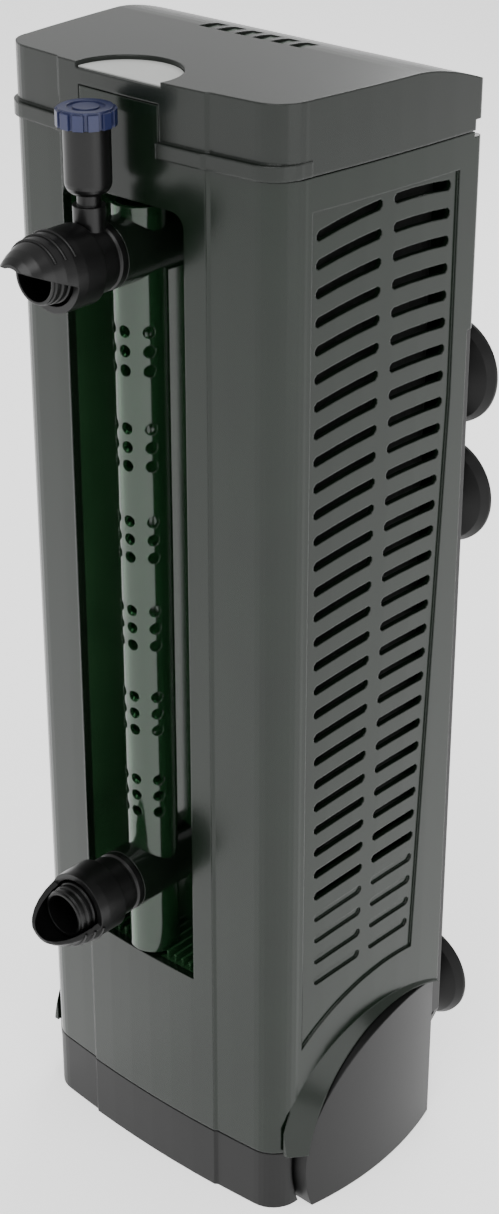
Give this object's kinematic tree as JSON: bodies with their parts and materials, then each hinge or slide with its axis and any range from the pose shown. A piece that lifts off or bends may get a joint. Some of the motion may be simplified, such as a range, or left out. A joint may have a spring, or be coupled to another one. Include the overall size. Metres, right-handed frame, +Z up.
{
  "type": "internal aquarium power filter",
  "caption": "Tall submersible aquarium filter with side intake grilles, front spray bar, two turning outlets, flip lid and slide-on suction-cup bracket.",
  "frame": {"origin": "middle of the housing's plan on the underside of the base, where the filter stands", "axes": "+Z up along the height, front panel with the outlets faces -Y, suction cups face +Y, +X to the right seen facing -Y from the back (viewer's right when facing the front)"},
  "size_m": [0.1074, 0.122, 0.32],
  "materials": {
    "smoked_housing": "satin, smoked see-through moulding",
    "clear_green": "glossy, lightly tinted see-through moulding",
    "dark_base": "fine satin moulding",
    "black_outlet": "satin black moulding",
    "blue_cap": "satin blue moulding",
    "bracket_grey": "satin grey moulding",
    "black_rubber": "smooth soft rubber",
    "black_foam": "open-cell foam",
    "inner_frame": "smoked moulding",
    "white_floss": "soft polyester floss",
    "ceramic": "unglazed sintered ceramic",
    "motor_resin": "moulded block filled with resin",
    "core_steel": "stacked laminations",
    "copper_wire": "enamelled copper wire",
    "magnet": "sintered ferrite",
    "white_nylon": "moulded nylon",
    "pin_steel": "polished stainless pins"
  },
  "bodies": {
    "filter_body": {"housing": "smoked_housing", "front_panel": "smoked_housing", "outlet_recess": "clear_green", "base_tray": "dark_base", "base_front_cover": "dark_base", "base_disc_left": "dark_base", "base_disc_right": "dark_base", "lid_hinge_pins": "pin_steel", "spray_bar": "clear_green", "spray_bar_end_caps": "black_outlet", "riser_duct": "clear_green", "upper_tee": "black_outlet", "lower_tee": "black_outlet", "foam_pad_left": "black_foam", "foam_pad_right": "black_foam", "foam_frame_left": "inner_frame", "foam_frame_right": "inner_frame", "media_basket": "inner_frame", "polishing_pad": "white_floss", "ceramic_rings": "ceramic", "motor_block": "motor_resin", "stator_core": "core_steel", "stator_coil": "copper_wire", "impeller_shaft": "ceramic", "shaft_bush_lower": "black_rubber", "shaft_bush_upper": "black_rubber", "pump_cover": "clear_green", "cable_gland": "black_rubber"},
    "lid": {"lid": "smoked_housing"},
    "upper_nozzle": {"upper_nozzle": "black_outlet", "upper_seal": "black_rubber", "air_chamber": "black_outlet"},
    "upper_hood": {"upper_hood": "black_outlet"},
    "air_valve_cap": {"air_valve_cap": "blue_cap"},
    "lower_nozzle": {"lower_nozzle": "black_outlet", "lower_seal": "black_rubber"},
    "lower_hood": {"lower_hood": "black_outlet"},
    "rotor": {"rotor_magnet": "magnet", "impeller_wheel": "white_nylon"},
    "bracket": {"mounting_bracket": "bracket_grey", "suction_cup_1": "black_rubber", "suction_cup_2": "black_rubber", "suction_cup_3": "black_rubber", "suction_cup_4": "black_rubber", "suction_cup_5": "black_rubber", "suction_cup_6": "black_rubber"}
  },
  "joints": [
    {"name": "lid_hinge", "type": "hinge", "parent": "filter_body", "child": "lid", "pos_m": [0, 0.03265, 0.3046], "axis": [-1, 0, 0], "range_deg": [0, 95]},
    {"name": "upper_nozzle_swivel", "type": "hinge", "parent": "filter_body", "child": "upper_nozzle", "pos_m": [-0.0034, -0.04105, 0.277], "axis": [0, -1, 0], "range_deg": [-90, 90]},
    {"name": "upper_hood_turn", "type": "hinge", "parent": "upper_nozzle", "child": "upper_hood", "pos_m": [-0.0034, -0.05105, 0.277], "axis": [0, -1, 0], "continuous": true},
    {"name": "air_valve_turn", "type": "hinge", "parent": "upper_nozzle", "child": "air_valve_cap", "pos_m": [-0.0034, -0.04545, 0.311], "axis": [0, 0, 1], "range_deg": [0, 270]},
    {"name": "lower_nozzle_swivel", "type": "hinge", "parent": "filter_body", "child": "lower_nozzle", "pos_m": [-0.0034, -0.04105, 0.097], "axis": [0, -1, 0], "continuous": true},
    {"name": "lower_hood_turn", "type": "hinge", "parent": "lower_nozzle", "child": "lower_hood", "pos_m": [-0.0034, -0.05105, 0.097], "axis": [0, -1, 0], "continuous": true},
    {"name": "impeller_spin", "type": "hinge", "parent": "filter_body", "child": "rotor", "pos_m": [0, 0.012, 0.03], "axis": [0, 0, 1], "continuous": true},
    {"name": "bracket_slide", "type": "slide", "parent": "filter_body", "child": "bracket", "axis": [0, 0, -1], "range_m": [0, 0.045]}
  ]
}
